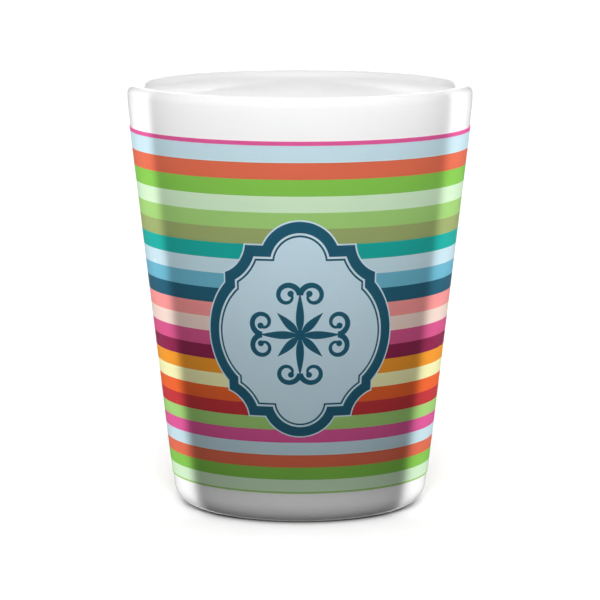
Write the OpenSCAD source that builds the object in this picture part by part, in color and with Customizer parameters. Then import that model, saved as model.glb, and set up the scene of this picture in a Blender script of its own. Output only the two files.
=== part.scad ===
// Souvenir shot glass: a glazed ceramic cup with a striped print and a four-lobed label.
// The cup stands on the plane z = 0, its axis is Z, and the label faces -Y.

/* [Cup] */
// Height of the cup
cup_h = 60; // [50:0.5:75]
// Widest diameter, at the rim
rim_d = 48.8; // [42:0.1:60]
// Lean of the outer wall from upright, degrees
wall_lean = 6.67; // [4:0.01:8]
// Radius of the rounded rim
rim_r = 1.3; // [1:0.05:1.8]
// Radius of the gentle turn between the wall and the rim
shoulder_r = 20; // [10:1:30]
// Radius of the round-over between the wall and the foot
heel_r = 3; // [2:0.1:4]

/* [Well] */
// Thickness of the floor of the cup, above the standing plane
floor_t = 6; // [4:0.25:9]
// Lean of the inside wall from upright, degrees
well_lean = 8.2; // [7.5:0.05:9.5]
// Radius between the inside wall and the inside floor
well_r = 5; // [3:0.5:7]

/* [Foot] */
// Distance of the bare foot ring in from where the heel turns level
foot_inset = 0.25; // [0.1:0.05:2]
// Width of the foot ring
foot_w = 2.4; // [1.5:0.1:4]
// Height of the foot ring below the heel
foot_lift = 0.25; // [0.2:0.05:0.8]
// Depth of the recess inside the foot ring
recess_h = 1.4; // [0.8:0.1:2.5]
// Bevel on the two edges of the foot ring
foot_bevel = 0.15; // [0.05:0.05:0.2]

/* [Glaze and ink] */
// Thickness of the glaze
glaze_t = 0.3; // [0.15:0.05:0.5]
// Thickness of the printed film
ink_t = 0.1; // [0.06:0.02:0.2]

/* [Stripes] */
// Distance from the rim to the top of the print
print_gap = 5.87; // [5:0.01:10]
// Height of the cut-off stripe at the top of the print
stripe_head = 0.575; // [0.2:0.025:1.5]
// Height of the first whole stripe
stripe_first = 2.355; // [1.6:0.005:2.5]
// Height of each stripe over the height of the one above
stripe_ratio = 0.98664; // [0.97:0.00001:0.99]
// Height of the cut-off stripe at the bottom of the print
stripe_tail = 0.27; // [0.1:0.01:0.8]

/* [Label] */
// Height of the label's centre above the standing plane
label_z = 27.27; // [24:0.01:34]
// Half-height of the label, to the tip of a lobe
label_half_h = 15.3; // [13:0.1:17]
// Half-width of the label, to the tip of a lobe
label_half_w = 13.3; // [11:0.1:16]
// Radius of the top and bottom lobes
lobe_r = 5.6; // [4.5:0.1:6.5]
// Radius of the side lobes
side_r = 10.3; // [9.5:0.1:12]
// Height of the level steps beside the top and bottom lobes, from the centre
step_h = 12.2; // [11.8:0.05:12.6]
// Distance of the upright steps above and below the side lobes, from the centre
step_w = 10.55; // [10.3:0.05:10.8]
// Radius of the hollow corners
notch_r = 4.2; // [3.8:0.05:4.5]
// Sideways place of a hollow corner's centre
notch_x = 11.7; // [11.5:0.05:11.9]
// Upward place of a hollow corner's centre
notch_z = 12.5; // [12.3:0.05:12.7]
// Growth of the label's drawing for each mm above its centre
label_taper = 0.0033; // [0:0.0001:0.006]
// Width of the pale edge around the label
edge_w = 0.2; // [0.15:0.05:0.4]
// Width of the dark frame
frame_w = 1.45; // [1:0.05:2]
// Width of the pale line inside the frame
line_w = 0.28; // [0.2:0.02:0.5]
// Width of the dark keyline inside that
keyline_w = 0.26; // [0.2:0.02:0.5]

/* [Ornament] */
// Distance from the label's centre to the centres of the top and bottom curls
curl_h = 5.4; // [5.2:0.1:6]
// Distance from the label's centre to the centres of the side curls
curl_w = 5.1; // [5:0.1:5.6]
// Outer radius of a curl
curl_r = 2.1; // [1.7:0.05:2.2]
// Widest stroke of a curl
curl_wide = 0.8; // [0.5:0.05:0.9]
// Narrowest stroke of a curl
curl_thin = 0.32; // [0.25:0.01:0.45]
// Radius of the ball that ends a curl
ball_r = 0.42; // [0.35:0.01:0.45]
// Length of the two upright petals
petal_up = 5.9; // [5.6:0.1:6.2]
// Length of the two level petals
petal_side = 5.6; // [5.3:0.1:5.9]
// Length of the four slanted petals
petal_slant = 4.4; // [3:0.1:4.8]
// Widest part of a petal
petal_wide = 1.1; // [0.8:0.05:1.4]
// Radius of the hub that the petals grow from
hub_r = 0.75; // [0.6:0.05:1]

/* [Hidden] */
$fn = 180;
arc_steps = 14;
curl_steps = 20;
petal_steps = 8;

// Rim and wall
rim_out = rim_d / 2;
rim_cx = rim_out - rim_r;
rim_cz = cup_h - rim_r;
shoulder_cx = rim_out - shoulder_r;
shoulder_x = shoulder_cx + shoulder_r * cos(wall_lean);
shoulder_z = rim_cz - shoulder_r * sin(wall_lean);

// Radius of the glazed outer wall at a height
function wall_r(z) = shoulder_x + (z - shoulder_z) * tan(wall_lean);

// Heel
heel_cz = foot_lift + heel_r;
heel_cx = wall_r(heel_cz) - heel_r / cos(wall_lean);

// Well
well_top_x = rim_cx - rim_r * cos(well_lean);
well_top_z = rim_cz + rim_r * sin(well_lean);
function well_wall_r(z) = well_top_x - (well_top_z - z) * tan(well_lean);
well_cz = floor_t + well_r;
well_cx = well_wall_r(well_cz) - well_r / cos(well_lean);

// Foot
foot_out = heel_cx - foot_inset;
foot_in = foot_out - foot_w;
recess_corner = recess_h / 2;

// Print
print_top = cup_h - print_gap;
film_dx = ink_t / cos(wall_lean);
whole_stripes = 24;
stripes = [
    ["magenta_hairline", [0.88, 0.38, 0.61]],
    ["pale_blue", [0.80, 0.89, 0.93]],
    ["coral", [0.87, 0.44, 0.34]],
    ["green", [0.51, 0.77, 0.34]],
    ["mint", [0.81, 0.92, 0.78]],
    ["light_green", [0.62, 0.80, 0.47]],
    ["olive", [0.60, 0.66, 0.42]],
    ["teal", [0.13, 0.66, 0.63]],
    ["ice_blue", [0.78, 0.88, 0.92]],
    ["sky_blue", [0.41, 0.71, 0.80]],
    ["navy", [0.14, 0.35, 0.44]],
    ["salmon", [0.93, 0.57, 0.56]],
    ["peach", [0.92, 0.82, 0.77]],
    ["magenta", [0.81, 0.31, 0.51]],
    ["maroon", [0.53, 0.13, 0.27]],
    ["orange", [0.91, 0.57, 0.16]],
    ["pale_yellow", [0.91, 0.91, 0.67]],
    ["burnt_orange", [0.88, 0.36, 0.17]],
    ["red", [0.72, 0.18, 0.19]],
    ["light_green", [0.62, 0.80, 0.47]],
    ["magenta", [0.83, 0.31, 0.56]],
    ["pale_blue", [0.80, 0.89, 0.93]],
    ["coral", [0.87, 0.44, 0.34]],
    ["green", [0.51, 0.77, 0.34]],
    ["mint", [0.81, 0.92, 0.78]],
    ["light_green_hairline", [0.62, 0.80, 0.47]]
];
pale = [0.72, 0.84, 0.89];
dark = [0.15, 0.35, 0.44];
clay = [0.93, 0.91, 0.88];
white = [0.97, 0.97, 0.97];

// Height of the top edge of a stripe: a cut-off one, then a falling series of whole ones
function stripe_top(i) = i == 0 ? print_top
    : print_top - stripe_head - stripe_first * (1 - pow(stripe_ratio, i - 1)) / (1 - stripe_ratio);
function stripe_bottom(i) = i > whole_stripes ? stripe_top(i) - stripe_tail : stripe_top(i + 1);
function two_digits(i) = str(i < 10 ? "0" : "", i);
function stripe_name(i) = str("stripe_", two_digits(i + 1), "_", stripes[i][0]);

stripe_nodes = [for (i = [0 : len(stripes) - 1]) stripe_name(i)];

// Points of an arc about c, from angle a0 to a1
function arc(c, r, a0, a1, steps = arc_steps) =
    [for (i = [0 : steps]) let (a = a0 + (a1 - a0) * i / steps) [c[0] + r * cos(a), c[1] + r * sin(a)]];

// Outer side of the cup from the rim's widest line down to the heel's lowest point,
// set back by d from the glazed surface
function outer_side(d) = concat(
    arc([shoulder_cx, rim_cz], shoulder_r - d, 0, -wall_lean),
    arc([heel_cx, heel_cz], heel_r - d, -wall_lean, -90)
);

// Inner side of the cup from the rim's widest line over the top and down to the well's floor,
// set back by d from the glazed surface
function inner_side(d) = concat(
    arc([rim_cx, rim_cz], rim_r - d, 0, 180 - well_lean),
    arc([well_cx, well_cz], well_r + d, -well_lean, -90),
    [[0, floor_t - d]]
);

// The same list in the opposite order
function reversed(list) = [for (i = [len(list) - 1 : -1 : 0]) list[i]];

module clay_body() {
    foot_top = foot_lift + glaze_t;
    ceiling = recess_h + glaze_t;
    color(clay)
        rotate_extrude()
            polygon(concat(
                inner_side(glaze_t),
                [
                    [0, ceiling],
                    [foot_in - recess_corner, ceiling],
                    [foot_in, ceiling - recess_corner],
                    [foot_in, foot_bevel],
                    [foot_in + foot_bevel, 0],
                    [foot_out - foot_bevel, 0],
                    [foot_out, foot_bevel],
                    [foot_out, foot_top]
                ],
                reversed(outer_side(glaze_t))
            ));
}

module inside_glaze() {
    color(white)
        rotate_extrude()
            polygon(concat(inner_side(0), reversed(inner_side(glaze_t))));
}

module outside_glaze() {
    color(white)
        rotate_extrude()
            polygon(concat(
                outer_side(0),
                [[foot_out, foot_lift], [foot_out, foot_lift + glaze_t]],
                reversed(outer_side(glaze_t))
            ));
}

// The base glaze covers the recess and stops on its side wall, clear of the foot's face
module base_glaze() {
    ceiling = recess_h + glaze_t;
    stop_z = foot_lift;
    corner = recess_corner - glaze_t * (sqrt(2) - 1);
    color(white)
        rotate_extrude()
            polygon([
                [0, ceiling],
                [foot_in - recess_corner, ceiling],
                [foot_in, ceiling - recess_corner],
                [foot_in, stop_z],
                [foot_in - glaze_t, stop_z],
                [foot_in - glaze_t, recess_h - corner],
                [foot_in - glaze_t - corner, recess_h],
                [0, recess_h]
            ]);
}

// A ring of film on the wall between two heights, out from the wall by d0 to d1
module film_ring(z0, z1, d0, d1) {
    rotate_extrude()
        polygon([
            [wall_r(z0) + d0, z0],
            [wall_r(z0) + d1, z0],
            [wall_r(z1) + d1, z1],
            [wall_r(z1) + d0, z1]
        ]);
}

// Height and half-width where one quarter of the label's drawing changes from piece to piece,
// for a drawing set in by d
function lobe_cz() = label_half_h - lobe_r;
function side_cx() = label_half_w - side_r;
function lobe_end_angle(d) = asin((step_h - d - lobe_cz()) / (lobe_r - d));
function notch_start_angle(d) = 180 + asin((notch_z - step_h + d) / (notch_r + d));
function notch_end_angle(d) = 180 + acos((notch_x - step_w + d) / (notch_r + d));
function side_start_angle(d) = acos((step_w - d - side_cx()) / (side_r - d));

// One quarter of the label's outline, from the top of the upper lobe to the tip of the side lobe
function label_quarter(d) = concat(
    arc([0, lobe_cz()], lobe_r - d, 90, lobe_end_angle(d)),
    arc([notch_x, notch_z], notch_r + d, notch_start_angle(d), notch_end_angle(d), arc_steps / 2),
    arc([side_cx(), 0], side_r - d, side_start_angle(d), 0)
);
function mirror_x(list) = [for (p = list) [-p[0], p[1]]];
function mirror_z(list) = [for (p = list) [p[0], -p[1]]];
function label_outline(d) =
    let (q = label_quarter(d), right = concat(q, reversed(mirror_z(q))))
    concat(right, reversed(mirror_x(right)));

// Wraps a point of the flat drawing onto the wall and looks at it from the front:
// the drawing grows upwards with the wall, and its sideways distance becomes an arc length
function wrapped(p) =
    let (s = 1 + label_taper * p[1], z = label_z + s * p[1], r = wall_r(z))
    [r * sin(s * p[0] / r * 180 / PI), z];
function wrapped_all(list) = [for (p = list) wrapped(p)];

label_top = wrapped([0, label_half_h])[1];
label_bottom = wrapped([0, -label_half_h])[1];

// Carries a front view towards the viewer, through the front wall
module through_front() {
    rotate([90, 0, 0])
        linear_extrude(height = rim_out + 1)
            children();
}

module label_shape(d) {
    polygon(wrapped_all(label_outline(d)));
}

// A band of film between the label outlines set in by d0 and d1, on the front wall
module label_band(d0, d1) {
    intersection() {
        film_ring(label_bottom - 1, label_top + 1, 0, film_dx);
        through_front()
            difference() {
                label_shape(d0);
                if (d1 > d0) label_shape(d1);
            }
    }
}

module stripe(i) {
    color(stripes[i][1])
        difference() {
            film_ring(stripe_bottom(i), stripe_top(i), 0, film_dx);
            if (stripe_top(i) > label_bottom && stripe_bottom(i) < label_top)
                through_front() label_shape(0);
        }
}

line_in = edge_w + frame_w;
keyline_in = line_in + line_w;
panel_in = keyline_in + keyline_w;

module label_edge() {
    color(pale) label_band(0, edge_w);
}

module label_frame() {
    color(dark) label_band(edge_w, line_in);
}

module label_inner_line() {
    color(pale) label_band(line_in, keyline_in);
}

module label_keyline() {
    color(dark) label_band(keyline_in, panel_in);
}

module label_panel() {
    color(pale) label_band(panel_in, panel_in);
}

// The middle line of a curl whose centre is at height h: it starts upright on the label's upright
// centre line, winds in clockwise, and its radius and stroke shrink steadily.
// Each entry is x, z, the direction from the centre, and the stroke
curl_mid_r = curl_r - curl_wide / 2;
function curl_spine(h) = [
    for (i = [0 : curl_steps])
        let (t = i / curl_steps, a = 176 - 390 * t, r = curl_mid_r * (1 - 0.68 * t))
        [curl_mid_r + r * cos(a), h + r * sin(a), a, curl_wide + (curl_thin - curl_wide) * t]
];
function curl_side(spine, side) =
    [for (p = spine) [p[0] + side * p[3] / 2 * cos(p[2]), p[1] + side * p[3] / 2 * sin(p[2])]];
// The outline of a curl: out along one side, round the ball at the end, and back along the other
function curl_outline(h) =
    let (
        spine = curl_spine(h),
        end = spine[curl_steps],
        neck = 90 - asin(curl_thin / 2 / ball_r),
        sweep = 180 + 2 * neck,
        ball = arc([end[0], end[1]], ball_r, end[2] + neck, end[2] + neck - sweep),
        stem = [for (p = spine) if (norm([p[0] - end[0], p[1] - end[1]]) > ball_r * 1.1) p]
    )
    concat(curl_side(stem, 1), ball, reversed(curl_side(stem, -1)));

// A leaf that grows out of the hub towards an angle, widest a little before its middle
function petal(angle, length, width) =
    let (
        root = hub_r / 2,
        side = [for (i = [1 : petal_steps - 1]) let (t = i / petal_steps)
            [root + t * (length - root), width / 2 * sin(180 * pow(t, 0.7))]],
        flat = concat([[root, 0]], side, [[length, 0]], reversed(mirror_z(side)))
    )
    [for (p = flat) [p[0] * cos(angle) - p[1] * sin(angle), p[0] * sin(angle) + p[1] * cos(angle)]];

function swapped(list) = [for (p = list) [p[1], p[0]]];

// A film over the panel, in the shape of a flat outline
module overprint(list) {
    intersection() {
        film_ring(label_bottom, label_top, film_dx, 2 * film_dx);
        through_front() polygon(wrapped_all(list));
    }
}

// Prints a shape and its mirror images in all four quarters
module four_ways(list) {
    overprint(list);
    overprint(mirror_x(list));
    overprint(mirror_z(list));
    overprint(mirror_x(mirror_z(list)));
}

module label_ornament() {
    color(dark) {
        overprint(arc([0, 0], hub_r, 5, 355, 35));
        four_ways(petal(45, petal_slant, petal_wide));
        for (side = [0, 180]) {
            overprint(petal(90 + side, petal_up, petal_wide));
            overprint(petal(side, petal_side, petal_wide));
        }
        four_ways(curl_outline(curl_h));
        four_ways(swapped(curl_outline(curl_w)));
    }
}

clay_body();
inside_glaze();
outside_glaze();
base_glaze();
for (i = [0 : len(stripes) - 1])
    stripe(i);
label_edge();
label_frame();
label_inner_line();
label_keyline();
label_panel();
label_ornament();
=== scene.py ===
"""Glazed souvenir cup with a striped print and a four-lobed label, on a pale studio floor."""

import math

import bpy
import numpy as np
from bpy.props import FloatProperty, FloatVectorProperty, IntProperty, PointerProperty
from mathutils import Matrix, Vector


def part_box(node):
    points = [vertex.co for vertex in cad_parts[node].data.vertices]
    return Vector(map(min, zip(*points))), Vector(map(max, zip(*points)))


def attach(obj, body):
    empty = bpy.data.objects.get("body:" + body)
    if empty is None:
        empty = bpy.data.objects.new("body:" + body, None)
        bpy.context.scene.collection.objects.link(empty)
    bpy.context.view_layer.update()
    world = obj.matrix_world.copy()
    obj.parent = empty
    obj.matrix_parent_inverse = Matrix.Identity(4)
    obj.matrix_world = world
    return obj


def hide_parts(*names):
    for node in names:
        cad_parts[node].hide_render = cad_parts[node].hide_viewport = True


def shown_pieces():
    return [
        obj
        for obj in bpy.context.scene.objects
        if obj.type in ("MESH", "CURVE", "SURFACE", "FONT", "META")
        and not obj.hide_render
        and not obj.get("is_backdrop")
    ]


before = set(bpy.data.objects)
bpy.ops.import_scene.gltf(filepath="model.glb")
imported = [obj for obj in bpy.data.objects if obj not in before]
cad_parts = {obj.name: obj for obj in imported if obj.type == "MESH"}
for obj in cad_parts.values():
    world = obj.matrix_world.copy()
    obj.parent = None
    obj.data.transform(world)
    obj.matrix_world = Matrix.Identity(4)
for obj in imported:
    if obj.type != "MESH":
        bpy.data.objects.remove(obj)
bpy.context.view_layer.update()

bl_info = {
    "name": "Striped Cup",
    "version": (1, 0, 0),
    "blender": (4, 5, 0),
    "location": "3D View > Sidebar > Striped Cup",
    "description": "Builds a glazed cup with a striped print, its label and a studio to show it in",
    "category": "Add Mesh",
}

MM = 0.001
FULL_TURN = 2 * math.pi
BODY = "root"
# Points closer than this count as one place
SAME_PLACE = 1e-8
# The longest step between points along the cup's sides, and along its underside
PROFILE_GAP = 1.5 * MM
UNDERSIDE_GAP = 0.8 * MM
# An edge that turns by more than this is shaded sharp
SHARP_EDGE = math.radians(30)

CUP_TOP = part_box("inside_glaze")[1].z
RIM_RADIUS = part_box("outside_glaze")[1].x


def size(label, mm, note):
    """A length with its default in millimetres."""
    return FloatProperty(name=label, description=note, default=mm * MM, min=0.0, precision=5, unit="LENGTH")


def slope(label, degrees, note):
    """An angle with its default in degrees."""
    return FloatProperty(name=label, description=note, default=math.radians(degrees), subtype="ANGLE")


def share(label, value, note):
    """A plain number."""
    return FloatProperty(name=label, description=note, default=value, precision=4)


def colour(label, rgb, note):
    """A linear colour."""
    return FloatVectorProperty(
        name=label, description=note, default=rgb, size=3, min=0.0, max=1.0, subtype="COLOR"
    )


# --------------------------------------------------------------------------- sizes and colours


class StripedCupBody(bpy.types.PropertyGroup):
    """Sizes of the cup's clay and glaze."""

    height: size("Height", CUP_TOP / MM, "Height of the cup, from the frame")
    rim_radius: size("Rim radius", RIM_RADIUS / MM, "Widest radius, at the rim, from the frame")
    wall_lean: slope("Wall lean", 6.67, "Lean of the outer wall from upright")
    lip_r: size("Lip radius", 1.3, "Radius of the rounded lip")
    shoulder_r: size("Shoulder radius", 20.0, "Radius of the turn between the wall and the lip")
    heel_r: size("Heel radius", 3.0, "Radius of the round-over between the wall and the foot")
    floor_t: size("Floor thickness", 6.0, "Height of the well's floor above the standing plane")
    well_lean: slope("Well lean", 8.2, "Lean of the inside wall from upright")
    well_r: size("Well radius", 5.0, "Radius between the inside wall and the well's floor")
    foot_inset: size("Foot inset", 0.25, "Distance of the foot ring in from the heel's lowest line")
    foot_w: size("Foot width", 2.4, "Width of the bare foot ring")
    foot_lift: size("Foot lift", 0.25, "Height of the foot ring below the heel")
    recess_h: size("Recess depth", 1.4, "Depth of the recess inside the foot ring")
    foot_bevel: size("Foot bevel", 0.15, "Bevel on the foot ring's two edges")
    glaze_t: size("Glaze thickness", 0.3, "Thickness of the glaze on the clay")


class StripedCupPrint(bpy.types.PropertyGroup):
    """Sizes of the printed film."""

    film: size("Film thickness", 0.1, "Thickness of the printed film")
    label_z: size("Label height", 27.27, "Height of the label's centre above the standing plane")
    label_half_h: size("Label half-height", 15.3, "From the label's centre to the tip of an upright lobe")
    label_half_w: size("Label half-width", 13.3, "From the label's centre to the tip of a side lobe")
    lobe_r: size("Lobe radius", 5.6, "Radius of the top and bottom lobes")
    side_r: size("Side radius", 10.3, "Radius of the side lobes")
    step_h: size("Level step", 12.2, "Height of the level steps from the label's centre")
    step_w: size("Upright step", 10.55, "Distance of the upright steps from the label's centre")
    notch_r: size("Notch radius", 4.2, "Radius of the hollow corners")
    notch_x: size("Notch across", 11.7, "Sideways place of a hollow corner's centre")
    notch_z: size("Notch up", 12.5, "Upward place of a hollow corner's centre")
    taper: share("Label taper", 0.0033, "Growth of the label's drawing for each mm above its centre")
    edge_w: size("Edge width", 0.2, "Width of the pale edge round the label")
    frame_w: size("Frame width", 1.45, "Width of the dark frame")
    line_w: size("Line width", 0.28, "Width of the pale line inside the frame")
    keyline_w: size("Keyline width", 0.26, "Width of the dark keyline inside that")
    curl_h: size("Curl height", 5.4, "From the label's centre to the top and bottom curls")
    curl_w: size("Curl reach", 5.1, "From the label's centre to the side curls")
    curl_r: size("Curl radius", 2.1, "Outer radius of a curl")
    curl_wide: size("Curl stroke", 0.8, "Widest stroke of a curl")
    curl_thin: size("Curl fine stroke", 0.32, "Narrowest stroke of a curl")
    ball_r: size("Curl ball", 0.42, "Radius of the ball that ends a curl")
    petal_up: size("Upright petal", 5.9, "Length of the two upright petals")
    petal_side: size("Level petal", 5.6, "Length of the two level petals")
    petal_slant: size("Slanted petal", 4.4, "Length of the four slanted petals")
    petal_wide: size("Petal width", 1.1, "Widest part of a petal")
    hub_r: size("Hub radius", 0.75, "Radius of the hub that the petals grow from")


class StripedCupInks(bpy.types.PropertyGroup):
    """Colours of the inks, the glaze and the clay."""

    white: colour("White glaze", (0.95, 0.95, 0.95), "Glossy white glaze")
    clay: colour("Bare clay", (0.78, 0.74, 0.67), "Unglazed clay of the foot ring")
    magenta: colour("Magenta", (0.747, 0.105, 0.325), "Magenta ink")
    pale_blue: colour("Pale blue", (0.571, 0.755, 0.829), "Pale blue ink")
    coral: colour("Coral", (0.763, 0.158, 0.084), "Coral ink")
    green: colour("Green", (0.242, 0.577, 0.084), "Green ink")
    mint: colour("Mint", (0.651, 0.856, 0.595), "Mint ink")
    light_green: colour("Light green", (0.368, 0.642, 0.191), "Light green ink")
    olive: colour("Olive", (0.344, 0.419, 0.158), "Olive ink")
    teal: colour("Teal", (0.013, 0.420, 0.365), "Teal ink")
    ice_blue: colour("Ice blue", (0.577, 0.763, 0.837), "Ice blue ink")
    sky_blue: colour("Sky blue", (0.155, 0.470, 0.617), "Sky blue ink")
    navy: colour("Navy", (0.019, 0.114, 0.181), "Navy ink")
    salmon: colour("Salmon", (0.914, 0.319, 0.310), "Salmon ink")
    peach: colour("Peach", (0.879, 0.684, 0.606), "Peach ink")
    deep_magenta: colour("Deep magenta", (0.684, 0.100, 0.264), "Deep magenta ink")
    maroon: colour("Maroon", (0.276, 0.020, 0.078), "Maroon ink")
    orange: colour("Orange", (0.905, 0.338, 0.028), "Orange ink")
    pale_yellow: colour("Pale yellow", (0.917, 0.887, 0.477), "Pale yellow ink")
    burnt_orange: colour("Burnt orange", (0.864, 0.136, 0.031), "Burnt orange ink")
    red: colour("Red", (0.562, 0.039, 0.046), "Red ink")
    label_pale: colour("Label line", (0.64, 0.80, 0.88), "Pale ink of the label's lines")
    label_dark: colour("Label dark", (0.019, 0.112, 0.177), "Dark ink of the label's frame and ornament")
    label_field: colour("Label field", (0.614, 0.8, 0.893), "Ink of the label's middle")


class StripedCupStudio(bpy.types.PropertyGroup):
    """The floor, the lights and the camera."""

    floor_radius: size("Floor radius", 3000.0, "Radius of the floor")
    floor_colour: colour("Floor colour", (0.90, 0.90, 0.90), "Matte pale floor")
    camera_back: size("Camera distance", 495.9, "Distance of the camera in front of the cup's axis")
    camera_up: size("Camera height", 102.1, "Height of the camera above the floor")
    camera_pitch: slope("Camera pitch", 8.38, "How far the camera looks down")
    lens: FloatProperty(name="Lens", description="Focal length in mm", default=211.1, min=10.0)
    turns: IntProperty(name="Facets", description="Faces round the cup", default=288, min=48)


# --------------------------------------------------------------------------- shapes


def arc(centre, radius, start, end, steps):
    """Points of a circle about centre, from angle start to angle end, in equal steps."""
    a = np.linspace(start, end, steps + 1)
    return np.stack([centre[0] + radius * np.cos(a), centre[1] + radius * np.sin(a)], axis=1)


def straight(start, end, steps):
    """Points of a straight line from start to end, in equal steps."""
    t = np.linspace(0.0, 1.0, steps + 1)[:, None]
    return np.asarray(start) * (1 - t) + np.asarray(end) * t


def filled(points, gap):
    """The same open line with points added, so that no two are further apart than gap."""
    pieces = []
    for a, b in zip(points[:-1], points[1:]):
        steps = max(1, math.ceil(float(np.hypot(*(b - a))) / gap))
        pieces.append(straight(a, b, steps)[:-1])
    return np.concatenate([*pieces, points[-1:]])


class CupProfile:
    """The cup's half section in r and z, as formulas of its sizes.

    The outer wall is a straight line that leans out by wall_lean, tangent to a large shoulder arc under
    the rim's widest line and to a heel arc at the bottom. The lip is an arc from the widest line over the
    top to the inside wall, which leans by well_lean and is tangent to the well's floor arc.
    """

    ARC = 24

    def __init__(self, sizes):
        s = self.s = sizes
        self.lean = s.wall_lean
        self.rim = (s.rim_radius - s.lip_r, s.height - s.lip_r)
        self.shoulder = (s.rim_radius - s.shoulder_r, self.rim[1])
        self.wall_top = (
            self.shoulder[0] + s.shoulder_r * math.cos(self.lean),
            self.shoulder[1] - s.shoulder_r * math.sin(self.lean),
        )
        heel_z = s.foot_lift + s.heel_r
        self.heel = (float(self.wall_r(heel_z)) - s.heel_r / math.cos(self.lean), heel_z)
        well_z = s.floor_t + s.well_r
        top_x = self.rim[0] - s.lip_r * math.cos(s.well_lean)
        top_z = self.rim[1] + s.lip_r * math.sin(s.well_lean)
        well_wall = top_x - (top_z - well_z) * math.tan(s.well_lean)
        self.well = (well_wall - s.well_r / math.cos(s.well_lean), well_z)
        self.foot_out = self.heel[0] - s.foot_inset
        self.foot_in = self.foot_out - s.foot_w

    def wall_r(self, z):
        """Radius of the glazed wall at a height: a straight line that leans outwards."""
        return self.wall_top[0] + (z - self.wall_top[1]) * math.tan(self.lean)

    def outer_side(self, depth):
        """From the rim's widest line down to the heel's lowest point, set back by depth."""
        s = self.s
        return np.concatenate([
            arc(self.shoulder, s.shoulder_r - depth, 0.0, -self.lean, self.ARC // 3),
            arc(self.heel, s.heel_r - depth, -self.lean, -math.pi / 2, self.ARC),
        ])

    def inner_side(self, depth):
        """From the rim's widest line over the lip and down to the middle of the well, set back by depth."""
        s = self.s
        return np.concatenate([
            arc(self.rim, s.lip_r - depth, 0.0, math.pi - s.well_lean, 2 * self.ARC),
            arc(self.well, s.well_r + depth, -s.well_lean, -math.pi / 2, self.ARC),
            [[0.0, s.floor_t - depth]],
        ])


def weld(points, quads):
    """One vertex for each place, and the faces that still have an area, each without a repeated corner."""
    keys = np.round(points / SAME_PLACE).astype(np.int64)
    _, first, where = np.unique(keys, axis=0, return_index=True, return_inverse=True)
    quads = where.reshape(-1)[quads]
    same = quads == np.roll(quads, -1, axis=1)
    whole = quads[~same.any(axis=1)]
    whole = whole[(whole[:, 0] != whole[:, 2]) & (whole[:, 1] != whole[:, 3])]
    pinched = quads[same.sum(axis=1) == 1]
    gap = same[same.sum(axis=1) == 1].argmax(axis=1)
    order = (gap[:, None] + 1 + np.arange(3)) % 4
    triangles = np.take_along_axis(pinched, order, axis=1)
    used, index = np.unique(np.concatenate([whole.ravel(), triangles.ravel()]), return_inverse=True)
    points = points[first][used]
    whole = index[: whole.size].reshape(-1, 4)
    triangles = index[whole.size :].reshape(-1, 3)
    return points, whole, triangles


def outward(points, quads, triangles):
    """Turns a closed shell over if the volume inside it, summed face by face, comes out negative."""
    tris = np.concatenate([quads[:, [0, 1, 2]], quads[:, [0, 2, 3]], triangles])
    a, b, c = (points[tris[:, i]] for i in range(3))
    if np.einsum("ij,ij->i", a, np.cross(b, c)).sum() < 0:
        return quads[:, ::-1], triangles[:, ::-1]
    return quads, triangles


def turned(profile, turns):
    """A closed half section carried round the Z axis: x = r cos a, y = r sin a for equal angles a."""
    a = np.arange(turns) * FULL_TURN / turns
    r, z = profile[:, 0][:, None], profile[:, 1][:, None]
    points = np.stack([r * np.cos(a), r * np.sin(a), z + 0 * a], axis=2)
    index = np.arange(points.shape[0] * turns).reshape(-1, turns)
    down, right = np.roll(index, -1, axis=0), np.roll(index, -1, axis=1)
    both = np.roll(down, -1, axis=1)
    quads = np.stack([index, right, both, down], axis=2).reshape(-1, 4)
    points, quads, triangles = weld(points.reshape(-1, 3), quads)
    return points, *outward(points, quads, triangles)


def slab(under, over, round_about=False, keep=None):
    """A thin closed sheet between two grids of points, under and over.

    Each kept cell of the grid gives a face above and one below, and each side of a kept cell with no kept
    neighbour gives a face that joins the two. Columns join up into a ring where round_about is true.
    """
    rows, cols = over.shape[:2]
    index = np.arange(rows * cols).reshape(rows, cols)
    right = np.roll(index, -1, axis=1)
    if not round_about:
        index, right = index[:, :-1], right[:, :-1]
    corners = np.stack([index[:-1], right[:-1], right[1:], index[1:]], axis=2)
    if keep is None:
        keep = np.ones(corners.shape[:2], bool)
    above = np.pad(keep, ((1, 1), (0, 0)))
    beside = np.pad(keep, ((0, 0), (1, 1)), mode="wrap" if round_about else "constant")
    neighbours = [above[:-2], beside[:, 2:], above[2:], beside[:, :-2]]
    top = corners[keep]
    faces = [top, top[:, ::-1] + rows * cols]
    for side, neighbour in enumerate(neighbours):
        edge = corners[keep & ~neighbour][:, [side, (side + 1) % 4]]
        faces.append(np.concatenate([edge[:, ::-1], edge + rows * cols], axis=1))
    points = np.concatenate([over.reshape(-1, 3), under.reshape(-1, 3)])
    points, quads, triangles = weld(points, np.concatenate(faces))
    return points, *outward(points, quads, triangles)


def joined(shells):
    """Several closed shells as one list of points and faces."""
    points, quads, triangles, count = [], [], [], 0
    for p, q, t in shells:
        points.append(p)
        quads.append(q + count)
        triangles.append(t + count)
        count += len(p)
    return np.concatenate(points), np.concatenate(quads), np.concatenate(triangles)


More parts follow.
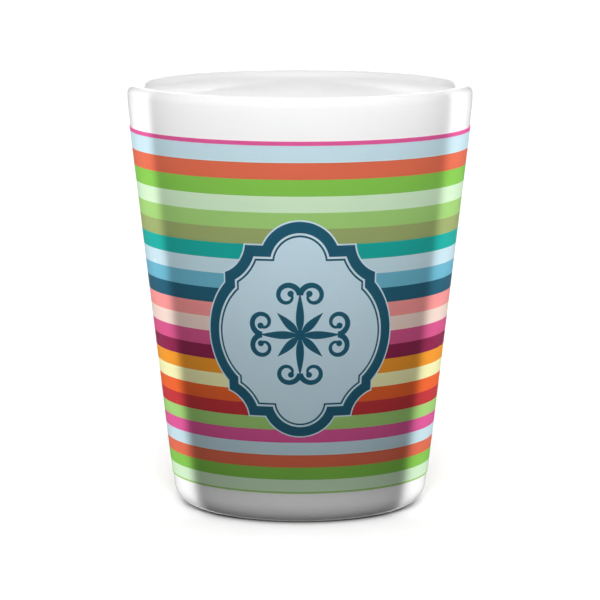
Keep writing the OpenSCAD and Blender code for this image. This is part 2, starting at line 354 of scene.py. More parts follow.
def add_piece(name, shell, material, node, lean=None):
    """Puts a shell into a mesh that stands for a CAD node.

    With lean, every face but those on the back takes the normal of the cone that the film lies on, so the
    film shines as smoothly as the glaze under it. Without it, edges sharper than 30 degrees stay sharp.
    """
    points, quads, triangles = shell
    mesh = bpy.data.meshes.new(name)
    mesh.from_pydata(points.tolist(), [], quads.tolist() + triangles.tolist())
    mesh.update()
    mesh.shade_smooth()
    if lean is None:
        mesh.set_sharp_from_angle(angle=SHARP_EDGE)
    else:
        count = len(mesh.loops)
        corner = np.empty(count, np.int32)
        mesh.loops.foreach_get("vertex_index", corner)
        co = points[corner]
        radius = np.hypot(co[:, 0], co[:, 1])
        cone = np.stack([
            co[:, 0] / radius * math.cos(lean),
            co[:, 1] / radius * math.cos(lean),
            np.full(count, -math.sin(lean)),
        ], axis=1)
        face_normals = np.empty(len(mesh.polygons) * 3, np.float32)
        mesh.polygons.foreach_get("normal", face_normals)
        totals = np.empty(len(mesh.polygons), np.int32)
        mesh.polygons.foreach_get("loop_total", totals)
        facing = np.repeat(face_normals.reshape(-1, 3), totals, axis=0)
        inwards = (facing * cone).sum(axis=1) < -0.5
        mesh.normals_split_custom_set(np.where(inwards[:, None], -cone, cone).tolist())
    mesh.materials.append(material)
    piece = bpy.data.objects.new(name, mesh)
    bpy.context.scene.collection.objects.link(piece)
    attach(piece, BODY)
    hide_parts(node)
    return piece


class LabelDrawing:
    """The label's flat outline in four equal quarters, and how it wraps onto the wall.

    A quarter runs from the upper lobe's tip along an arc, a level step, a hollow corner, an upright step
    and the side lobe's arc to its tip. A flat point (x, h) grows by s = 1 + taper h and wraps to the
    height label_z + s h and the angle s x / r, where r is the wall's radius at that height.
    """

    LOBE, LEVEL, NOTCH, UPRIGHT, SIDE = 24, 4, 14, 3, 24

    def __init__(self, sizes, profile):
        self.s = sizes
        self.wall_r = profile.wall_r
        self.lobe_z = sizes.label_half_h - sizes.lobe_r
        self.side_x = sizes.label_half_w - sizes.side_r
        self.taper = sizes.taper / MM

    def quarter(self, inset):
        """One quarter of the outline, set in by inset, from the upper tip to the side tip."""
        s = self.s
        lobe = arc(
            (0.0, self.lobe_z),
            s.lobe_r - inset,
            math.pi / 2,
            math.asin((s.step_h - inset - self.lobe_z) / (s.lobe_r - inset)),
            self.LOBE,
        )
        notch = arc(
            (s.notch_x, s.notch_z),
            s.notch_r + inset,
            math.pi + math.asin((s.notch_z - s.step_h + inset) / (s.notch_r + inset)),
            math.pi + math.acos((s.notch_x - s.step_w + inset) / (s.notch_r + inset)),
            self.NOTCH,
        )
        side = arc(
            (self.side_x, 0.0),
            s.side_r - inset,
            math.acos((s.step_w - inset - self.side_x) / (s.side_r - inset)),
            0.0,
            self.SIDE,
        )
        level = straight(lobe[-1], notch[0], self.LEVEL)
        upright = straight(notch[-1], side[0], self.UPRIGHT)
        return np.concatenate([lobe, level[1:-1], notch, upright[1:-1], side])

    def outline(self, inset):
        """The whole outline: the quarter and its three mirror images, each shared point once."""
        q = self.quarter(inset)
        right = np.concatenate([q, q[-2::-1] * [1, -1]])
        return np.concatenate([right, right[-2:0:-1] * [-1, 1]])

    def wrap(self, flat):
        """Angle from the front and height on the wall of flat points."""
        grown = 1 + self.taper * flat[..., 1]
        z = self.s.label_z + grown * flat[..., 1]
        return grown * flat[..., 0] / self.wall_r(z), z

    def film(self, angle, z, low, high, round_about=False, keep=None):
        """A film on the wall over a grid of angles and heights, from low to high above the glaze."""
        def at(lift):
            r = self.wall_r(z) + lift
            return np.stack([r * np.sin(angle), -r * np.cos(angle), z], axis=2)

        return slab(at(low), at(high), round_about, keep)


def film_lift(sizes, profile):
    """How far the film's face stands out sideways from the wall."""
    return sizes.film / math.cos(profile.lean)


# --------------------------------------------------------------------------- materials


class Field:
    """A socket of a material's nodes. Arithmetic on it adds Math nodes."""

    # Places of a Mix node's factor, its two colours and its mixed colour
    MIX_FACTOR, MIX_FIRST, MIX_SECOND, MIX_RESULT = 0, 6, 7, 2
    # Where a ramp's new stop starts, before it goes to its own place
    NEW_STOP = 0.5

    def __init__(self, tree, socket=None):
        self.tree = tree
        self.socket = socket

    def node(self, kind, settings=None, inputs=None, out=0):
        """Adds a node, sets its settings and a ramp's stops, then its inputs, and gives one output."""
        made = self.tree.nodes.new(kind)
        for key, value in (settings or {}).items():
            if key == "stops":
                ramp = made.color_ramp.elements
                while len(ramp) < len(value):
                    ramp.new(self.NEW_STOP)
                for element, (place, shade) in zip(ramp, value):
                    element.position = place
                    element.color = shade
            else:
                setattr(made, key, value)
        for key, value in (inputs or {}).items():
            if isinstance(value, Field):
                self.tree.links.new(value.socket, made.inputs[key])
            else:
                made.inputs[key].default_value = value
        return Field(self.tree, made.outputs[out] if len(made.outputs) else None)

    def _math(self, operation, first, second):
        return self.node("ShaderNodeMath", {"operation": operation}, {0: first, 1: second})

    def __add__(self, other):
        return self._math("ADD", self, other)

    def __radd__(self, other):
        return self._math("ADD", other, self)

    def __sub__(self, other):
        return self._math("SUBTRACT", self, other)

    def __rsub__(self, other):
        return self._math("SUBTRACT", other, self)

    def __mul__(self, other):
        return self._math("MULTIPLY", self, other)

    def __rmul__(self, other):
        return self._math("MULTIPLY", other, self)

    def noise(self, period, detail=2.0):
        """Noise on Object coordinates whose blotches are about period across, from 0 to 1."""
        place = self.node("ShaderNodeTexCoord", out="Object")
        return self.node(
            "ShaderNodeTexNoise", None, {"Vector": place, "Scale": 1 / period, "Detail": detail}
        )

    def blend(self, factor, first, second):
        """A colour between two colours, by the colour sockets of a Mix node."""
        colours = {self.MIX_FACTOR: factor, self.MIX_FIRST: first, self.MIX_SECOND: second}
        return self.node("ShaderNodeMix", {"data_type": "RGBA"}, colours, self.MIX_RESULT)

    def bump(self, height, distance):
        """A normal tilted by a height field whose full range stands for a distance."""
        return self.node("ShaderNodeBump", None, {"Height": height, "Distance": distance, "Strength": 1.0})


def rgba(rgb, gain=1.0):
    """A linear colour with a gain, and full alpha."""
    return (*(min(1.0, c * gain) for c in rgb), 1.0)


def new_material(name):
    """An empty node material and its field."""
    material = bpy.data.materials.new(name)
    material.use_nodes = True
    material.node_tree.nodes.clear()
    return material, Field(material.node_tree)


def finish_surface(field, inputs):
    """A Principled surface on the material's output."""
    surface = field.node("ShaderNodeBsdfPrincipled", None, inputs)
    field.node("ShaderNodeOutputMaterial", None, {"Surface": surface})


def glaze_material(name, rgb):
    """Poured white glaze: an even gloss with slight pooling, a soft ripple and a fine grain."""
    material, field = new_material(name)
    pooling = field.noise(9 * MM, 1.0)
    ripple = field.noise(1.6 * MM, 1.0)
    grain = field.noise(0.25 * MM, 1.0)
    tone = field.blend(pooling, rgba(rgb, 0.985), rgba(rgb, 1.01))
    finish_surface(field, {
        "Base Color": tone,
        "Roughness": 0.07 + 0.05 * pooling + 0.02 * grain,
        "IOR": 1.5,
        "Normal": field.bump(ripple * 0.8 + grain * 0.2, 0.012 * MM),
    })
    return material


def ink_material(name, rgb):
    """Ink fired under a thin gloss: a fine mottle in its strength and a satin break in its shine."""
    material, field = new_material(name)
    cloud = field.noise(3.5 * MM)
    mottle = field.noise(0.22 * MM)
    strength = cloud * 0.45 + mottle * 0.55
    tone = field.blend(strength, rgba(rgb, 0.955), rgba(rgb, 1.045))
    finish_surface(field, {
        "Base Color": tone,
        "Roughness": 0.18 + 0.08 * cloud + 0.05 * mottle,
        "IOR": 1.5,
        "Normal": field.bump(cloud * 0.7 + mottle * 0.3, 0.006 * MM),
    })
    return material


def clay_material(name, rgb):
    """Bare fired clay: matte, sandy, with darker grains and small pits."""
    material, field = new_material(name)
    sand = field.noise(0.18 * MM, 4.0)
    patch = field.noise(2.5 * MM)
    place = field.node("ShaderNodeTexCoord", out="Object")
    grains = field.node("ShaderNodeTexVoronoi", None, {"Vector": place, "Scale": 1 / (0.35 * MM)})
    speck = field.node(
        "ShaderNodeValToRGB",
        {"stops": [(0.0, (0, 0, 0, 1)), (0.22, (1, 1, 1, 1))]},
        {"Fac": grains},
    )
    body = field.blend(sand * 0.6 + patch * 0.4, rgba(rgb, 0.85), rgba(rgb, 1.08))
    tone = field.blend(speck, rgba(rgb, 0.62), body)
    finish_surface(field, {
        "Base Color": tone,
        "Roughness": 0.75 + 0.2 * sand,
        "Normal": field.bump(sand, 0.05 * MM),
    })
    return material


def floor_material(name, rgb):
    """Matte paper sweep with a very faint fibre."""
    material, field = new_material(name)
    fibre = field.noise(1.2 * MM, 3.0)
    tone = field.blend(fibre, rgba(rgb, 0.995), rgba(rgb, 1.005))
    finish_surface(field, {"Base Color": tone, "Roughness": 1.0, "Specular IOR Level": 0.0})
    return material


def cup_and_print(context):
    """The cup's profile, the print's sizes and the label's drawing, from the scene's settings."""
    scene = context.scene
    profile = CupProfile(scene.striped_cup_body)
    return profile, scene.striped_cup_print, LabelDrawing(scene.striped_cup_print, profile)


# --------------------------------------------------------------------------- operators


class STRIPEDCUP_OT_clay(bpy.types.Operator):
    """Make the clay body, which shows only on the foot ring"""

    bl_idname = "striped_cup.clay"
    bl_label = "Make clay body"

    def execute(self, context):
        profile, _, _ = cup_and_print(context)
        s = profile.s
        ceiling = s.recess_h + s.glaze_t
        corner = s.recess_h / 2
        underside = np.array([
            [0.0, ceiling],
            [profile.foot_in - corner, ceiling],
            [profile.foot_in, ceiling - corner],
            [profile.foot_in, s.foot_bevel],
            [profile.foot_in + s.foot_bevel, 0.0],
            [profile.foot_out - s.foot_bevel, 0.0],
            [profile.foot_out, s.foot_bevel],
            [profile.foot_out, s.foot_lift + s.glaze_t],
        ])
        side = filled(profile.outer_side(s.glaze_t)[::-1], PROFILE_GAP)
        well = filled(profile.inner_side(s.glaze_t), PROFILE_GAP)
        section = np.concatenate([well, filled(underside, UNDERSIDE_GAP), side[:-1]])
        material = clay_material("fired_clay", context.scene.striped_cup_inks.clay)
        shell = turned(section, context.scene.striped_cup_studio.turns)
        add_piece("cup_clay", shell, material, "clay_body")
        return {"FINISHED"}


class STRIPEDCUP_OT_glaze(bpy.types.Operator):
    """Make the white glaze inside, outside and under the cup"""

    bl_idname = "striped_cup.glaze"
    bl_label = "Make glaze"

    def execute(self, context):
        profile, _, _ = cup_and_print(context)
        s = profile.s
        turns = context.scene.striped_cup_studio.turns
        material = glaze_material("poured_glaze", context.scene.striped_cup_inks.white)
        face = filled(profile.inner_side(0.0), PROFILE_GAP)
        back = filled(profile.inner_side(s.glaze_t)[::-1], PROFILE_GAP)
        inside = turned(np.concatenate([face, back]), turns)
        add_piece("glaze_inside", inside, material, "inside_glaze")
        face = filled(profile.outer_side(0.0), PROFILE_GAP)
        back = filled(profile.outer_side(s.glaze_t)[::-1], PROFILE_GAP)
        hem = np.array([
            [profile.foot_out, s.foot_lift],
            [profile.foot_out, s.foot_lift + s.glaze_t],
        ])
        outside = turned(np.concatenate([face, hem, back]), turns)
        add_piece("glaze_outside", outside, material, "outside_glaze")
        ceiling = s.recess_h + s.glaze_t
        bevel = s.recess_h / 2
        corner = bevel - s.glaze_t * (math.sqrt(2) - 1)
        inner = profile.foot_in - s.glaze_t
        recess = np.array([
            [0.0, ceiling],
            [profile.foot_in - bevel, ceiling],
            [profile.foot_in, ceiling - bevel],
            [profile.foot_in, s.foot_lift],
            [inner, s.foot_lift],
            [inner, s.recess_h - corner],
            [inner - corner, s.recess_h],
            [0.0, s.recess_h],
        ])
        under = turned(filled(recess, UNDERSIDE_GAP), turns)
        add_piece("glaze_under", under, material, "base_glaze")
        return {"FINISHED"}


# The stripes from the top down: the CAD node's name after its number, and its ink
STRIPES = (
    ("magenta_hairline", "magenta"),
    ("pale_blue", "pale_blue"),
    ("coral", "coral"),
    ("green", "green"),
    ("mint", "mint"),
    ("light_green", "light_green"),
    ("olive", "olive"),
    ("teal", "teal"),
    ("ice_blue", "ice_blue"),
    ("sky_blue", "sky_blue"),
    ("navy", "navy"),
    ("salmon", "salmon"),
    ("peach", "peach"),
    ("magenta", "deep_magenta"),
    ("maroon", "maroon"),
    ("orange", "orange"),
    ("pale_yellow", "pale_yellow"),
    ("burnt_orange", "burnt_orange"),
    ("red", "red"),
    ("light_green", "light_green"),
    ("magenta", "magenta"),
    ("pale_blue", "pale_blue"),
    ("coral", "coral"),
    ("green", "green"),
    ("mint", "mint"),
    ("light_green_hairline", "light_green"),
)
ZONE_HALF = math.radians(45)
ZONE_COLUMNS = 24
BACK_STEP = math.radians(1.25)
ROW_GAP = 0.5 * MM
ROW_MARGIN = 0.01 * MM
ROW_GRID = 1e-9


class LabelGap:
    """The opening that the label leaves in the stripes: its half-angle at each height of its outline."""

    def __init__(self, drawing):
        flat = drawing.quarter(0.0)
        both = np.concatenate([flat[:-1], flat[::-1] * [1, -1]])
        angle, z = drawing.wrap(both)
        self.level = drawing.LEVEL
        first = drawing.LOBE
        last = first + self.level
        self.upper = slice(first, last + 1)
        self.lower = slice(len(z) - 1 - last, len(z) - first)
        self.upper_line, self.upper_z = angle[self.upper], z[first]
        self.lower_line, self.lower_z = angle[self.lower][::-1], z[len(z) - 1 - first]
        self.top, self.bottom = z[0], z[-1]
        self.angle, self.z = angle, z

    def rows(self, low, high):
        """The heights of the outline's points between two heights, with the two and no wide gaps."""
        inside = self.z[(self.z > low + ROW_MARGIN) & (self.z < high - ROW_MARGIN)]
        counts = np.round(np.concatenate([[low, high], inside]) / ROW_GRID).astype(np.int64)
        marks = np.unique(counts) * ROW_GRID
        marks[0], marks[-1] = low, high
        spread = [
            np.linspace(a, b, max(1, math.ceil((b - a) / ROW_GAP)) + 1)[:-1]
            for a, b in zip(marks[:-1], marks[1:])
        ]
        return np.concatenate([*spread, [high]])

    def edges(self, z):
        """For each height, the angles of the few columns beside the gap.

        Above the upper level step they lead from the lobe to where the step ends, and below the lower one
        likewise. Between the two steps they stand together on the outline.
        """
        middle = slice(self.upper.stop - 1, self.lower.start + 1)
        inner = np.interp(-z, -self.z[middle], self.angle[middle])
        lobe_top = np.interp(-z, -self.z[: self.upper.start + 1], self.angle[: self.upper.start + 1])
        tail = slice(self.lower.stop - 1, len(self.z))
        lobe_low = np.interp(-z, -self.z[tail], self.angle[tail])
        above = z >= self.upper_z - SAME_PLACE
        below = z <= self.lower_z + SAME_PLACE
        start = np.where(above, lobe_top, np.where(below, lobe_low, inner))
        steps_up = self.upper_line - self.upper_line[0]
        steps_low = self.lower_line - self.lower_line[0]
        steps = np.where(above[:, None], steps_up, np.where(below[:, None], steps_low, 0.0))
        return start[:, None] + steps


class STRIPEDCUP_OT_stripes(bpy.types.Operator):
    """Make the printed stripes, each a thin film round the wall that stops at the label"""

    bl_idname = "striped_cup.stripes"
    bl_label = "Make stripes"

    def execute(self, context):
        profile, sizes, drawing = cup_and_print(context)
        inks = context.scene.striped_cup_inks
        gap = LabelGap(drawing)
        lift = film_lift(sizes, profile)
        materials = {}
        for number, (word, ink) in enumerate(STRIPES, start=1):
            node = f"stripe_{number:02d}_{word}"
            low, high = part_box(node)
            if ink not in materials:
                materials[ink] = ink_material(f"{ink}_ink", getattr(inks, ink))
            shell = self.stripe(low.z, high.z, gap, drawing, lift)
            add_piece(f"print_{number:02d}_{word}", shell, materials[ink], node, profile.lean)
        return {"FINISHED"}

    def stripe(self, low, high, gap, drawing, lift):
        """A stripe's grid: rows are heights from the top down, and columns are angles.

        The columns run from the label's outline to the edge of the front zone in equal steps, round the
        back at a fixed step, and through the mirror image of the first part back to the outline.
        """
        z = gap.rows(low, high)[::-1]
        edges = gap.edges(z)
        t = np.linspace(0.0, 1.0, ZONE_COLUMNS + 1)[1:]
        zone = edges[:, -1:] * (1 - t) + ZONE_HALF * t
        right = np.concatenate([edges, zone], axis=1)
        back_cells = round((FULL_TURN - 2 * ZONE_HALF) / BACK_STEP)
        back = np.linspace(ZONE_HALF, FULL_TURN - ZONE_HALF, back_cells + 1)[1:-1]
        back = np.broadcast_to(back, (len(z), len(back)))
        angle = np.concatenate([right, back, FULL_TURN - right[:, ::-1]], axis=1)
        cells = angle.shape[1]
        keep = np.ones((len(z) - 1, cells), bool)
        middle = (z[:-1] + z[1:]) / 2
        between = (middle < gap.upper_z) & (middle > gap.lower_z)
        keep[between, : gap.level] = False
        keep[between, cells - 1 - gap.level : cells - 1] = False
        keep[:, -1] = (middle > gap.top) | (middle < gap.bottom)
        heights = np.broadcast_to(z[:, None], angle.shape)
        return drawing.film(angle, heights, 0.0, lift, True, keep)


BAND_CELLS = 4
PANEL_RINGS = 30


class STRIPEDCUP_OT_label(bpy.types.Operator):
    """Make the label: its pale edge, dark frame, pale line, keyline and middle"""

    bl_idname = "striped_cup.label"
    bl_label = "Make label"

    def execute(self, context):
        profile, sizes, drawing = cup_and_print(context)
        inks = context.scene.striped_cup_inks
        lift = film_lift(sizes, profile)
        pale = ink_material("label_pale_ink", inks.label_pale)
        dark = ink_material("label_dark_ink", inks.label_dark)
        field = ink_material("label_field_ink", inks.label_field)
        bands = (
            ("edge", sizes.edge_w, pale, "ink_label_pale"),
            ("frame", sizes.frame_w, dark, "ink_label_dark"),
            ("inner_line", sizes.line_w, pale, "ink_label_pale"),
            ("keyline", sizes.keyline_w, dark, "ink_label_dark"),
        )
        inset = 0.0
        for word, width, material, slot in bands:
            t = np.linspace(0.0, 1.0, BAND_CELLS + 1)[:, None, None]
            flat = drawing.outline(inset) * (1 - t) + drawing.outline(inset + width) * t
            shell = drawing.film(*drawing.wrap(flat), 0.0, lift, True)
            add_piece(f"label_{word}_film", shell, material, f"label_{word}", profile.lean)
            inset += width
        t = np.linspace(0.0, 1.0, PANEL_RINGS + 1)[:, None, None]
        shell = drawing.film(*drawing.wrap(drawing.outline(inset) * t), 0.0, lift, True)
        add_piece("label_panel_film", shell, field, "label_panel", profile.lean)
        return {"FINISHED"}


class STRIPEDCUP_OT_ornament(bpy.types.Operator):
    """Make the label's ornament: a hub, eight petals and eight curls"""

    bl_idname = "striped_cup.ornament"
    bl_label = "Make ornament"

    CURL_STEPS = 64
    ACROSS = 4
    CURL_START = math.radians(176)
    CURL_SWEEP = math.radians(390)
    CURL_SHRINK = 0.68
    PETAL_STEPS = 32
    PETAL_BELLY = 0.7
    STAGGER = 0.0025 * MM
    DISC_RINGS, DISC_SPOKES = 4, 48

    def disc(self, centre, radius):
        """Circles about centre whose radius grows evenly from nothing."""
        t = np.linspace(0.0, 1.0, self.DISC_RINGS + 1)[:, None]
        a = np.linspace(0.0, -FULL_TURN, self.DISC_SPOKES, endpoint=False)
        return np.stack([centre[0] + t * radius * np.cos(a), centre[1] + t * radius * np.sin(a)], axis=2)

    def curl(self, s, height):
        """A stroke along a spiral that shrinks evenly as it turns, with a stroke that thins evenly."""
        t = np.linspace(0.0, 1.0, self.CURL_STEPS + 1)[:, None]
        middle_r = s.curl_r - s.curl_wide / 2
        angle = self.CURL_START - self.CURL_SWEEP * t
        stroke = s.curl_wide + (s.curl_thin - s.curl_wide) * t
        offset = stroke * np.linspace(0.5, -0.5, self.ACROSS + 1)
        radius = middle_r * (1 - self.CURL_SHRINK * t)
        reach = radius + offset
        grid = np.stack([middle_r + reach * np.cos(angle), height + reach * np.sin(angle)], axis=2)
        end = (
            middle_r + float(radius[-1, 0]) * math.cos(float(angle[-1, 0])),
            height + float(radius[-1, 0]) * math.sin(float(angle[-1, 0])),
        )
        return grid, self.disc(end, s.ball_r)

    def petal(self, s, direction, length):
        """A leaf along a direction whose half-width is a sine of its length to a power."""
        t = np.linspace(0.0, 1.0, self.PETAL_STEPS + 1)[:, None]
        root = s.hub_r / 2
        along = root + t * (length - root)
        half = s.petal_wide / 2 * np.sin(math.pi * t**self.PETAL_BELLY)
        half[-1] = 0.0
        across = half * np.linspace(1.0, -1.0, self.ACROSS + 1)
        along = np.broadcast_to(along, across.shape)
        c, n = math.cos(direction), math.sin(direction)
        return np.stack([along * c - across * n, along * n + across * c], axis=2)

    def execute(self, context):
        profile, sizes, drawing = cup_and_print(context)
        lift = film_lift(sizes, profile)
        quarters = np.array([[1, 1], [-1, 1], [1, -1], [-1, -1]])
        shapes = []
        for height, swap in ((sizes.curl_h, False), (sizes.curl_w, True)):
            stroke, ball = self.curl(sizes, height)
            for grid, closed in ((stroke, False), (ball, True)):
                grid = grid[..., ::-1] if swap else grid
                shapes += [(grid * q, closed) for q in quarters]
        slant = self.petal(sizes, math.pi / 4, sizes.petal_slant)
        shapes += [(slant * q, False) for q in quarters]
        for direction in (0.0, math.pi):
            shapes.append((self.petal(sizes, direction, sizes.petal_side), False))
            shapes.append((self.petal(sizes, direction + math.pi / 2, sizes.petal_up), False))
        shapes.append((self.disc((0.0, 0.0), sizes.hub_r), True))
        shells = []
        for level, (grid, closed) in enumerate(shapes):
            angle, z = drawing.wrap(grid)
            shells.append(drawing.film(angle, z, lift, 2 * lift - level * self.STAGGER / 2, closed))
        dark = bpy.data.materials.get("label_dark_ink")
        if dark is None:
            dark = ink_material("label_dark_ink", context.scene.striped_cup_inks.label_dark)
        name = "label_ornament_film"
        add_piece(name, joined(shells), dark, "label_ornament", profile.lean)
        return {"FINISHED"}


# --------------------------------------------------------------------------- studio

# Beams that light the cup: name, azimuth and elevation of where each comes from in degrees, distance,
# the left and right edges and the low and high edges of its cross-section about the cup's axis and the
# standing plane in mm, its spread in degrees, the brightness that its low and its high edge give a white
# surface that faces it, and whether it shows in the gloss
BEAMS = (
    ("front_key", 0, 12, 0.40, -60, 60, -12, 57, 1.6, 0.095, 0.82, False),
    ("fill_right", 70, 12, 0.40, -60, 60, 12, 58, 1.6, 0.0, 0.33, False),
    ("fill_left", -70, 12, 0.40, -60, 60, 12, 58, 1.6, 0.0, 0.33, False),
    ("foot_glow", 0, 4, 0.25, -60, 60, -10, 3.4, 1.0, 0.10, 0.10, False),
    ("side_right", 72, 4, 0.16, -5.5, 60, -12, 58.5, 1.7, 1.03, 0.65, True),
    ("side_left", -72, 4, 0.16, -60, 5.5, -12, 58.5, 1.7, 1.03, 0.65, True),
    ("rear_right", 150, 4, 0.16, -30, -13, -12, 58, 3.0, 0.85, 0.85, False),
    ("rear_left", -150, 4, 0.16, 13, 30, -12, 58, 3.0, 0.85, 0.85, False),
    ("back_key", 180, 12, 0.40, -60, 60, -12, 57, 1.6, 0.102, 1.0, False),
)
# Suns that light the floor: name, the direction each shines in, strength, and width in degrees
FLOOR_SUNS = (
    ("floor_front", (0.0, 1.0, -0.6), 2.1, 20),
    ("floor_above", (0.0, 0.0, -1.0), 2.3, 110),
)
FLOOR_SPOKES = 96
FLOOR_RINGS = 12
WELL_LAMP_RADIUS = 18.0 * MM
WELL_LAMP_RISE = 30.0 * MM
WELL_LAMP_SHINE = 3.6
CARD_WIDTH, CARD_HEIGHT = 0.42, 1.2
CARD_PLACE = (0.0, 1.0, 0.1)
CARD_SHINE = 1.1
# The room's brightness straight below, level with the cup and straight above
ROOM_SHADES = ((0.0, 0.0), (0.5, 0.09), (1.0, 0.36))
SENSOR_WIDTH = 36.0


def add_light(name, kind, place, direction, **settings):
    """A light at place that shines along direction."""
    data = bpy.data.lights.new(name, kind)
    for key, value in settings.items():
        setattr(data, key, value)
    lamp = bpy.data.objects.new(name, data)
    lamp.location = place
    lamp.rotation_euler = Vector(direction).to_track_quat("-Z", "Y").to_euler()
    bpy.context.scene.collection.objects.link(lamp)
    return lamp


def lamp_power(area, shine=1.0):
    """Power for a flat lamp, in step with its area, so that shine alone sets how bright it is."""
    return math.pi * area * shine


def limit_light(lamp, collection):
    """The lamp lights only what is in the collection."""
    lamp.light_linking.receiver_collection = collection


class STRIPEDCUP_OT_studio(bpy.types.Operator):
    """Make the floor, the lights and the camera"""

    bl_idname = "striped_cup.studio"
    bl_label = "Make studio"

    def execute(self, context):
        scene = context.scene
        studio = scene.striped_cup_studio
        floor = self.floor(studio)
        on_floor = bpy.data.collections.new("lit_floor")
        on_floor.objects.link(floor)
        on_cup = bpy.data.collections.new("lit_cup")
        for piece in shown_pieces():
            on_cup.objects.link(piece)
        self.floor_light(on_floor)
        for beam in BEAMS:
            self.beam(beam, on_cup)
        self.rim_card(on_cup)
        self.well_lamp(on_cup)
        self.surroundings(scene)
        self.camera(scene, studio)
        scene.view_settings.view_transform = "Standard"
        return {"FINISHED"}

    def floor(self, studio):
        """A round floor just under the foot, as rings and spokes."""
        a = np.linspace(0.0, FULL_TURN, FLOOR_SPOKES, endpoint=False)
        r = np.linspace(0.0, 1.0, FLOOR_RINGS + 1)[:, None] ** 2 * studio.floor_radius
        points = np.stack([r * np.cos(a), r * np.sin(a), 0 * r * a], axis=2)
        index = np.arange(points.shape[0] * len(a)).reshape(-1, len(a))
        right = np.roll(index, -1, axis=1)
        quads = np.stack([index[:-1], index[1:], right[1:], right[:-1]], axis=2).reshape(-1, 4)
        points, quads, triangles = weld(points.reshape(-1, 3), quads)
        mesh = bpy.data.meshes.new("studio_floor")
        mesh.from_pydata(points.tolist(), [], quads.tolist() + triangles.tolist())
        mesh.materials.append(floor_material("floor_paper", studio.floor_colour))
        floor = bpy.data.objects.new("studio_floor", mesh)
        bpy.context.scene.collection.objects.link(floor)
        floor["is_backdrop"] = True
        floor.visible_diffuse = False
        floor.visible_glossy = False
        return floor

    def floor_light(self, receivers):
        """Even light on the floor, as white paper has: a low front one and a wide one from above."""
        for name, direction, strength, width in FLOOR_SUNS:
            place = -Vector(direction)
            sun = add_light(name, "SUN", place, direction, energy=strength, angle=math.radians(width))
            limit_light(sun, receivers)

    def beam(self, row, receivers):
        """A soft box whose light stays within its spread, graded evenly from its low to its high edge."""
        name, azimuth, elevation, distance, left, right, low, high, spread = row[:9]
        at_low, at_high, in_gloss = row[9:]
        a, e = math.radians(azimuth), math.radians(elevation)
        back = Vector((math.sin(a) * math.cos(e), -math.cos(a) * math.cos(e), math.sin(e)))
        side = Vector((math.cos(a), math.sin(a), 0.0))
        up = back.cross(side)
        place = back * distance + side * (left + right) / 2 * MM + up * (low + high) / 2 * MM
        width, height = (right - left) * MM, (high - low) * MM
        lamp = add_light(
            name,
            "AREA",
            place,
            -back,
            shape="RECTANGLE",
            size=width,
            size_y=height,
            spread=math.radians(spread),
            energy=lamp_power(width * height),
        )
        lamp.data.use_nodes = True
        tree = lamp.data.node_tree
        tree.nodes.clear()
        field = Field(tree)
        across = field.node("ShaderNodeNewGeometry", out="Parametric")
        share_up = field.node("ShaderNodeSeparateXYZ", None, {0: across}, "Y")
        graded = at_low + (at_high - at_low) * share_up
        glow = field.node("ShaderNodeEmission", None, {"Strength": graded})
        field.node("ShaderNodeOutputLight", None, {"Surface": glow})
        lamp.visible_camera = False
        lamp.visible_glossy = in_gloss
        limit_light(lamp, receivers)

    def well_lamp(self, receivers):
        """A small lamp over the mouth, which lights the well and the lip and misses the wall."""
        lamp = add_light(
            "well_lamp",
            "AREA",
            (0.0, 0.0, CUP_TOP + WELL_LAMP_RISE),
            (0.0, 0.0, -1.0),
            shape="DISK",
            size=2 * WELL_LAMP_RADIUS,
            energy=lamp_power(math.pi * WELL_LAMP_RADIUS**2, WELL_LAMP_SHINE),
        )
        lamp.visible_glossy = False
        lamp.visible_camera = False
        limit_light(lamp, receivers)

    def rim_card(self, receivers):
        """A white card behind the cup that shows only in the gloss, along its two outlines."""
        lamp = add_light(
            "rim_card",
            "AREA",
            CARD_PLACE,
            (0.0, -1.0, 0.0),
            shape="RECTANGLE",
            size=CARD_WIDTH,
            size_y=CARD_HEIGHT,
            energy=lamp_power(CARD_WIDTH * CARD_HEIGHT, CARD_SHINE),
        )
        lamp.visible_camera = False
        lamp.visible_diffuse = False
        limit_light(lamp, receivers)

    def surroundings(self, scene):
        """White where the camera looks, and a dim room that darkens downwards for everything else."""
        world = bpy.data.worlds.new("pale_studio")
        world.use_nodes = True
        world.node_tree.nodes.clear()
        field = Field(world.node_tree)
        place = field.node("ShaderNodeTexCoord", out="Generated")
        up = field.node("ShaderNodeSeparateXYZ", None, {0: place}, "Z")
        stops = [(where, (shade, shade, shade, 1.0)) for where, shade in ROOM_SHADES]
        room = field.node("ShaderNodeValToRGB", {"stops": stops}, {"Fac": up * 0.5 + 0.5})
        seen = field.node("ShaderNodeLightPath", out="Is Camera Ray")
        sky = field.blend(seen, room, (1.0, 1.0, 1.0, 1.0))
        background = field.node("ShaderNodeBackground", None, {"Color": sky, "Strength": 1.0})
        field.node("ShaderNodeOutputWorld", None, {"Surface": background})
        scene.world = world

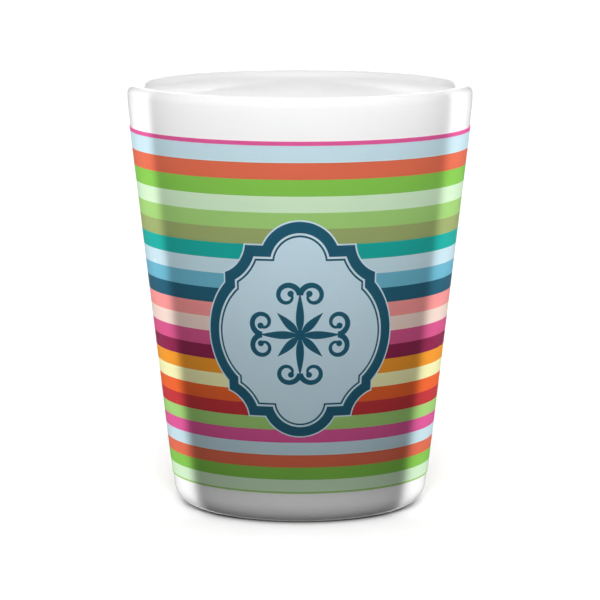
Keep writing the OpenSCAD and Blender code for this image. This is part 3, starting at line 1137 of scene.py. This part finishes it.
    def camera(self, scene, studio):
        """In front of the cup and above it, looking slightly down."""
        data = bpy.data.cameras.new("front_camera")
        data.lens = studio.lens
        data.sensor_width = SENSOR_WIDTH
        camera = bpy.data.objects.new("front_camera", data)
        camera.location = (0.0, -studio.camera_back, studio.camera_up)
        camera.rotation_euler = (math.pi / 2 - studio.camera_pitch, 0.0, 0.0)
        scene.collection.objects.link(camera)
        scene.camera = camera


STEPS = (
    STRIPEDCUP_OT_clay,
    STRIPEDCUP_OT_glaze,
    STRIPEDCUP_OT_stripes,
    STRIPEDCUP_OT_label,
    STRIPEDCUP_OT_ornament,
    STRIPEDCUP_OT_studio,
)


class STRIPEDCUP_PT_sidebar(bpy.types.Panel):
    """Steps and settings of the striped cup."""

    bl_idname = "STRIPEDCUP_PT_sidebar"
    bl_label = "Striped Cup"
    bl_space_type = "VIEW_3D"
    bl_region_type = "UI"
    bl_category = "Striped Cup"

    def draw(self, context):
        for step in STEPS:
            self.layout.operator(step.bl_idname)
        for word in GROUPS:
            group = getattr(context.scene, word)
            box = self.layout.box()
            for key in group.bl_rna.properties.keys():
                if key not in ("rna_type", "name"):
                    box.prop(group, key)


GROUPS = {
    "striped_cup_body": StripedCupBody,
    "striped_cup_print": StripedCupPrint,
    "striped_cup_inks": StripedCupInks,
    "striped_cup_studio": StripedCupStudio,
}


def register():
    """Registers the settings, the operators and the panel."""
    for word, group in GROUPS.items():
        bpy.utils.register_class(group)
        setattr(bpy.types.Scene, word, PointerProperty(type=group))
    for step in STEPS:
        bpy.utils.register_class(step)
    bpy.utils.register_class(STRIPEDCUP_PT_sidebar)


def unregister():
    """Takes them all away again."""
    bpy.utils.unregister_class(STRIPEDCUP_PT_sidebar)
    for step in reversed(STEPS):
        bpy.utils.unregister_class(step)
    for word, group in reversed(GROUPS.items()):
        delattr(bpy.types.Scene, word)
        bpy.utils.unregister_class(group)


def main():
    register()
    for step in STEPS:
        group, word = step.bl_idname.split(".")
        getattr(getattr(bpy.ops, group), word)()


if __name__ == "__main__":
    main()
